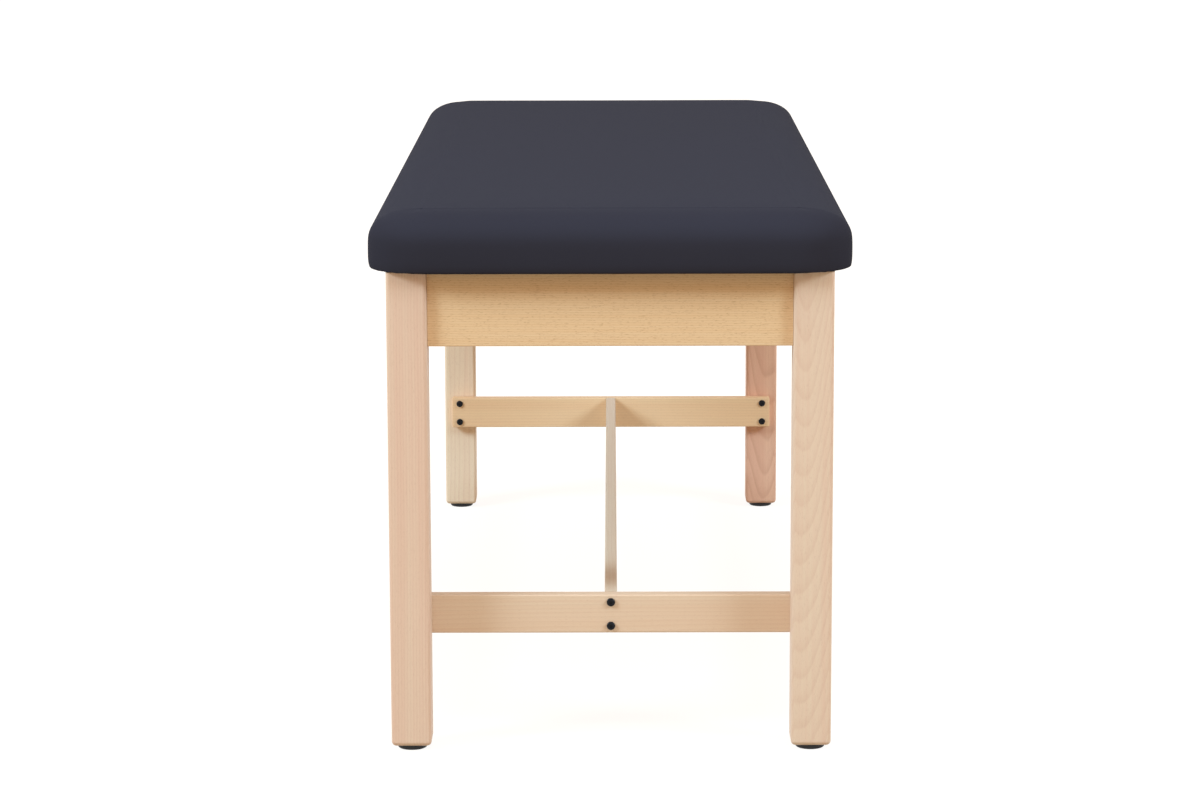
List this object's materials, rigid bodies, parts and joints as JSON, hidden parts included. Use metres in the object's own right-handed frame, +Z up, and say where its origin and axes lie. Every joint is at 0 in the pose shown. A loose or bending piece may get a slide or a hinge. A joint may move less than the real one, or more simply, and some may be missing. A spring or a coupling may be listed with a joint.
{
  "type": "padded treatment table",
  "caption": "Padded treatment table: a vinyl pad with a soft rounded edge on a wooden frame with an H brace, standing on screw-in levelling glides.",
  "frame": {"origin": "on the floor, under the middle of the table", "axes": "+Z up, +Y along the table away from the end that the picture shows, +X across it to the right"},
  "size_m": [0.697, 1.829, 0.788],
  "materials": {
    "vinyl": "satin",
    "foam": "matte",
    "board": "matte",
    "leg_wood": "satin",
    "apron_wood": "satin",
    "rail_wood": "satin",
    "black_steel": "satin",
    "zinc": "satin",
    "glide_plastic": "satin"
  },
  "bodies": {
    "table": {"barrel_nut_far_lower": "zinc", "barrel_nut_far_upper": "zinc", "barrel_nut_near_lower": "zinc", "barrel_nut_near_upper": "zinc", "base_board": "board", "board_screw_far_left": "zinc", "board_screw_far_right": "zinc", "board_screw_near_left": "zinc", "board_screw_near_right": "zinc", "corner_block_far_left": "board", "corner_block_far_right": "board", "corner_block_near_left": "board", "corner_block_near_right": "board", "far_cross_rail": "rail_wood", "far_end_apron": "apron_wood", "flange_nut_far_left": "zinc", "flange_nut_far_right": "zinc", "flange_nut_near_left": "zinc", "flange_nut_near_right": "zinc", "foam_core": "foam", "hanger_bolt_far_left": "zinc", "hanger_bolt_far_right": "zinc", "hanger_bolt_near_left": "zinc", "hanger_bolt_near_right": "zinc", "left_side_apron": "apron_wood", "leg_far_left": "leg_wood", "leg_far_right": "leg_wood", "leg_near_left": "leg_wood", "leg_near_right": "leg_wood", "long_stretcher": "rail_wood", "near_cross_rail": "rail_wood", "near_end_apron": "apron_wood", "rail_screw_far_left_lower": "black_steel", "rail_screw_far_left_upper": "black_steel", "rail_screw_far_right_lower": "black_steel", "rail_screw_far_right_upper": "black_steel", "rail_screw_near_left_lower": "black_steel", "rail_screw_near_left_upper": "black_steel", "rail_screw_near_right_lower": "black_steel", "rail_screw_near_right_upper": "black_steel", "right_side_apron": "apron_wood", "stretcher_bolt_far_lower": "black_steel", "stretcher_bolt_far_upper": "black_steel", "stretcher_bolt_near_lower": "black_steel", "stretcher_bolt_near_upper": "black_steel", "tee_nut_far_left": "zinc", "tee_nut_far_right": "zinc", "tee_nut_near_left": "zinc", "tee_nut_near_right": "zinc", "vinyl_cover": "vinyl"},
    "glide_near_left": {"glide_disc_near_left": "glide_plastic"},
    "stem_near_left": {"glide_stem_near_left": "zinc"},
    "glide_near_right": {"glide_disc_near_right": "glide_plastic"},
    "stem_near_right": {"glide_stem_near_right": "zinc"},
    "glide_far_left": {"glide_disc_far_left": "glide_plastic"},
    "stem_far_left": {"glide_stem_far_left": "zinc"},
    "glide_far_right": {"glide_disc_far_right": "glide_plastic"},
    "stem_far_right": {"glide_stem_far_right": "zinc"}
  },
  "joints": [
    {"name": "glide_near_left_lower", "type": "slide", "parent": "table", "child": "glide_near_left", "axis": [0, 0, -1], "range_m": [0, 0.01]},
    {"name": "stem_near_left_turn", "type": "hinge", "parent": "glide_near_left", "child": "stem_near_left", "pos_m": [-0.291, -0.86, 0.015], "axis": [0, 0, -1], "range_deg": [0, 2881]},
    {"name": "glide_near_right_lower", "type": "slide", "parent": "table", "child": "glide_near_right", "axis": [0, 0, -1], "range_m": [0, 0.01]},
    {"name": "stem_near_right_turn", "type": "hinge", "parent": "glide_near_right", "child": "stem_near_right", "pos_m": [0.291, -0.86, 0.015], "axis": [0, 0, -1], "range_deg": [0, 2881]},
    {"name": "glide_far_left_lower", "type": "slide", "parent": "table", "child": "glide_far_left", "axis": [0, 0, -1], "range_m": [0, 0.01]},
    {"name": "stem_far_left_turn", "type": "hinge", "parent": "glide_far_left", "child": "stem_far_left", "pos_m": [-0.291, 0.86, 0.015], "axis": [0, 0, -1], "range_deg": [0, 2881]},
    {"name": "glide_far_right_lower", "type": "slide", "parent": "table", "child": "glide_far_right", "axis": [0, 0, -1], "range_m": [0, 0.01]},
    {"name": "stem_far_right_turn", "type": "hinge", "parent": "glide_far_right", "child": "stem_far_right", "pos_m": [0.291, 0.86, 0.015], "axis": [0, 0, -1], "range_deg": [0, 2881]}
  ],
  "couplings": [
    {"joint": "stem_near_left_turn", "follows": "glide_near_left_lower", "rad_per_m": 5026.5},
    {"joint": "stem_near_right_turn", "follows": "glide_near_right_lower", "rad_per_m": 5026.5},
    {"joint": "stem_far_left_turn", "follows": "glide_far_left_lower", "rad_per_m": 5026.5},
    {"joint": "stem_far_right_turn", "follows": "glide_far_right_lower", "rad_per_m": 5026.5}
  ]
}
